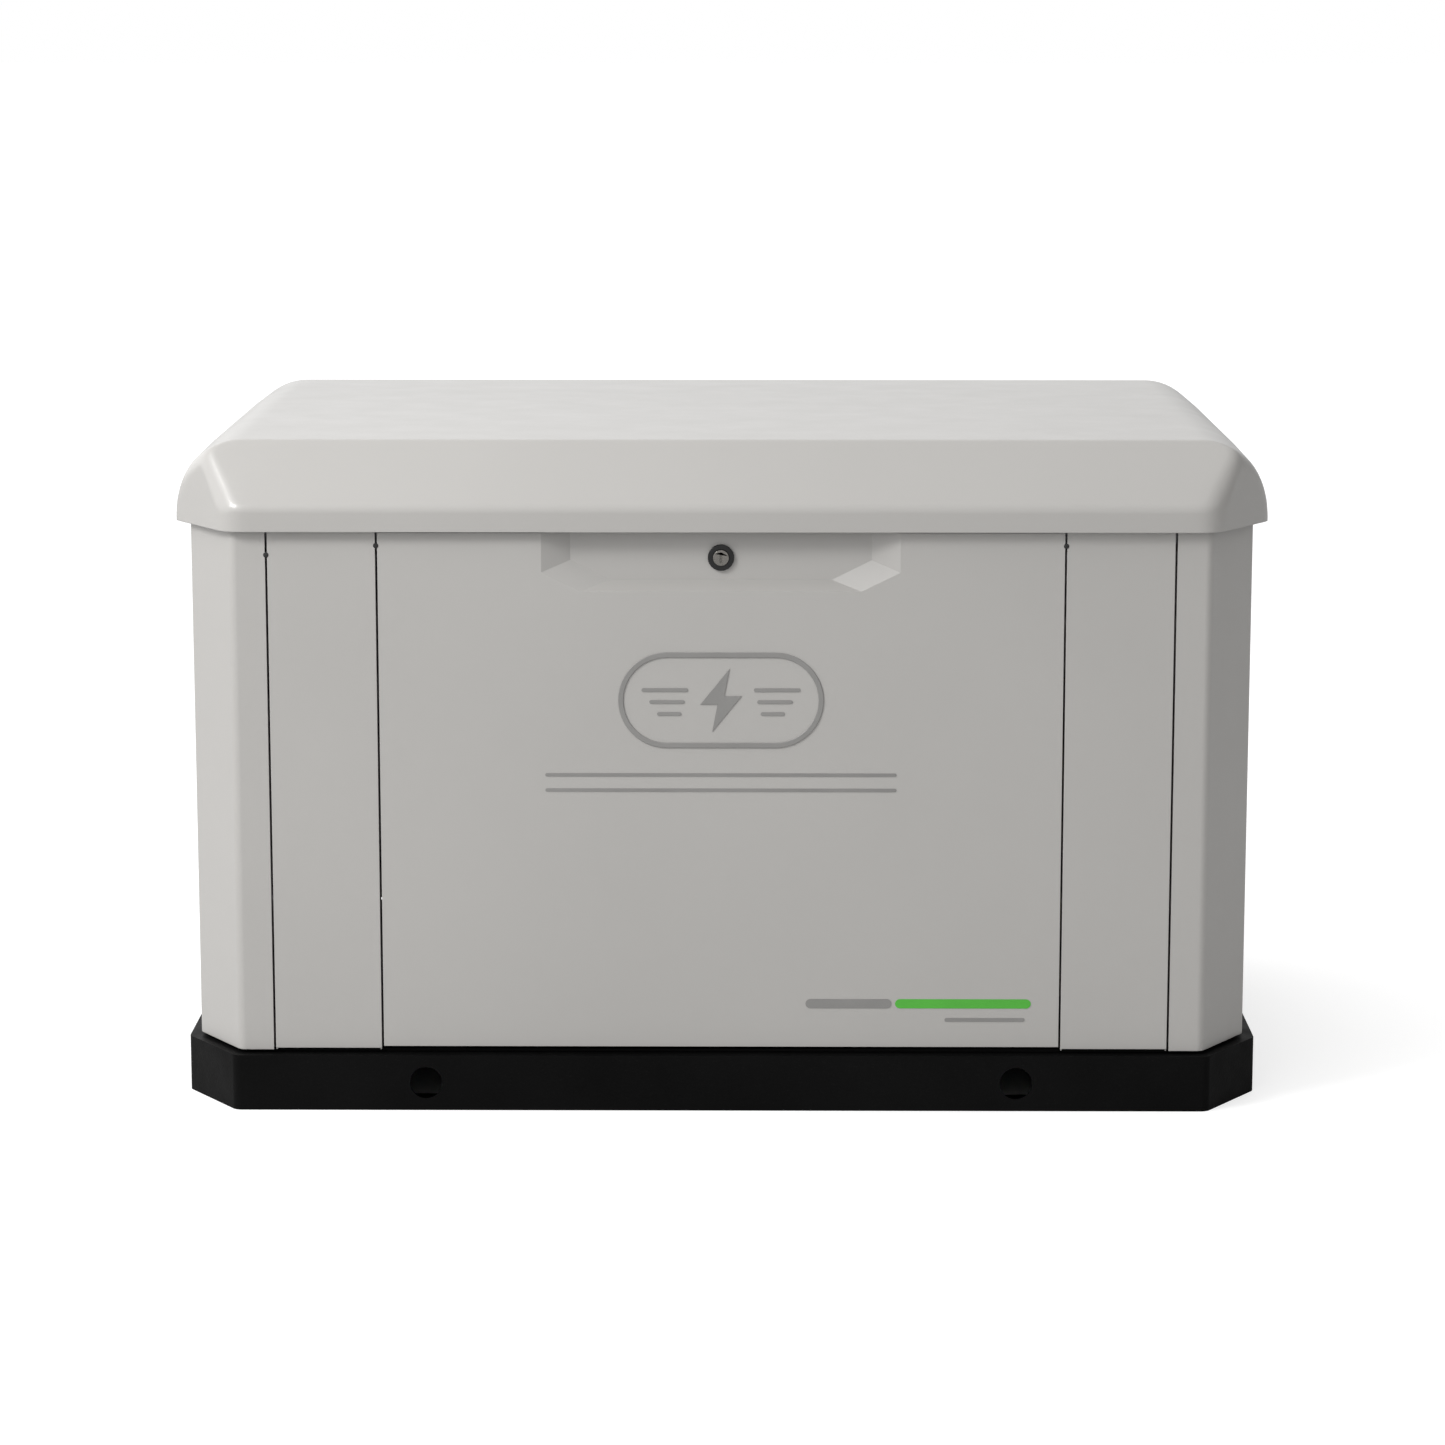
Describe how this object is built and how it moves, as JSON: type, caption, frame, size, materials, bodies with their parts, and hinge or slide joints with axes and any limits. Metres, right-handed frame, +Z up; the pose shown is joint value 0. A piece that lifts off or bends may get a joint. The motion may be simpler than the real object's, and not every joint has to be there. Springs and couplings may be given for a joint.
{
  "type": "home standby generator",
  "caption": "Free-standing standby generator in a sheet-steel enclosure with hinged roof, pull-off front panel, recessed lock, black base frame and a V-twin engine and alternator inside.",
  "frame": {"origin": "centre of the footprint, on the ground", "axes": "+X to the right along the long side, -Y out of the front panel, +Z up"},
  "size_m": [1.281, 0.85, 0.787],
  "materials": {
    "painted_sheet": "satin",
    "black_coat": "satin",
    "zinc_plate": "satin",
    "cast_aluminium": "matte",
    "bare_iron": "matte",
    "exhaust_steel": "matte",
    "foam": "matte",
    "rubber": "matte",
    "black_plastic": "satin",
    "lock_black": "gloss",
    "lock_metal": "polished",
    "badge_grey": "satin",
    "filter_paint": "gloss",
    "yellow_plastic": "gloss",
    "winding_copper": "satin",
    "button_green": "gloss",
    "button_red": "gloss",
    "button_blue": "gloss",
    "white_plastic": "satin"
  },
  "bodies": {
    "enclosure": {"base_frame": "black_coat", "floor_pan": "black_coat", "post_front_left": "painted_sheet", "post_front_right": "painted_sheet", "posts_rear": "painted_sheet", "front_strips": "painted_sheet", "side_panel_left": "painted_sheet", "side_panel_right": "painted_sheet", "rear_panel": "painted_sheet", "top_frame": "zinc_plate", "divider_wall": "zinc_plate", "hinge_fixed_leaves": "zinc_plate", "hinge_pins": "zinc_plate", "prop_cradle": "zinc_plate", "engine_rails": "bare_iron", "vibration_mounts": "rubber", "crankcase": "cast_aluminium", "main_bearings": "zinc_plate", "cylinders": "cast_aluminium", "cylinder_heads": "cast_aluminium", "valve_covers": "black_coat", "blower_housing": "black_coat", "intake_mixer": "cast_aluminium", "air_box": "black_plastic", "exhaust_pipes": "exhaust_steel", "muffler": "exhaust_steel", "oil_filter": "filter_paint", "dipstick_tube": "zinc_plate", "starter_motor": "black_plastic", "stator": "bare_iron", "alternator_housing": "cast_aluminium", "gas_regulator": "cast_aluminium", "fuel_inlet": "zinc_plate", "fuel_hose": "rubber", "conduit_gland": "black_plastic", "control_box": "black_plastic", "breaker_body": "black_coat", "battery": "black_plastic", "battery_cables": "rubber"},
    "lid": {"roof_lid": "painted_sheet", "lid_liner": "foam", "lid_seal": "rubber", "lid_catch": "zinc_plate", "hinge_lid_leaves": "zinc_plate", "prop_bracket": "zinc_plate"},
    "prop": {"prop_rod": "zinc_plate"},
    "door": {"front_panel": "painted_sheet", "panel_liner": "foam", "badge": "badge_grey", "lock_housing": "lock_black"},
    "lock": {"lock_plug": "lock_metal", "lock_cam": "zinc_plate"},
    "crank": {"crankshaft": "bare_iron", "flywheel_fan": "bare_iron", "rotor": "winding_copper"},
    "dipstick": {"dipstick": "yellow_plastic"},
    "auto_button": {"button_auto": "button_green"},
    "off_button": {"button_off": "button_red"},
    "manual_button": {"button_manual": "button_blue"},
    "toggle": {"breaker_toggle": "white_plastic"}
  },
  "joints": [
    {"name": "lid_hinge", "type": "hinge", "parent": "enclosure", "child": "lid", "pos_m": [0, 0.419, 0.676], "axis": [-1, 0, 0], "range_deg": [0, 65]},
    {"name": "prop_swing", "type": "hinge", "parent": "lid", "child": "prop", "pos_m": [0.586, 0.04, 0.735], "axis": [1, 0, 0], "range_deg": [0, 132]},
    {"name": "door_pull", "type": "slide", "parent": "enclosure", "child": "door", "axis": [0, -1, 0], "range_m": [0, 0.25]},
    {"name": "lock_turn", "type": "hinge", "parent": "door", "child": "lock", "pos_m": [0, -0.395, 0.652], "axis": [0, -1, 0], "range_deg": [0, 90]},
    {"name": "crank_spin", "type": "hinge", "parent": "enclosure", "child": "crank", "pos_m": [0, 0, 0.265], "axis": [1, 0, 0], "continuous": true},
    {"name": "dipstick_pull", "type": "slide", "parent": "enclosure", "child": "dipstick", "axis": [0, 0, 1], "range_m": [0, 0.2]},
    {"name": "auto_press", "type": "slide", "parent": "enclosure", "child": "auto_button", "axis": [0, 0, -1], "range_m": [0, 0.002], "stiffness_N_per_m": 400},
    {"name": "off_press", "type": "slide", "parent": "enclosure", "child": "off_button", "axis": [0, 0, -1], "range_m": [0, 0.002], "stiffness_N_per_m": 400},
    {"name": "manual_press", "type": "slide", "parent": "enclosure", "child": "manual_button", "axis": [0, 0, -1], "range_m": [0, 0.002], "stiffness_N_per_m": 400},
    {"name": "breaker_throw", "type": "hinge", "parent": "enclosure", "child": "toggle", "pos_m": [-0.568, -0.27, 0.634], "axis": [1, 0, 0], "range_deg": [0, 40]}
  ]
}
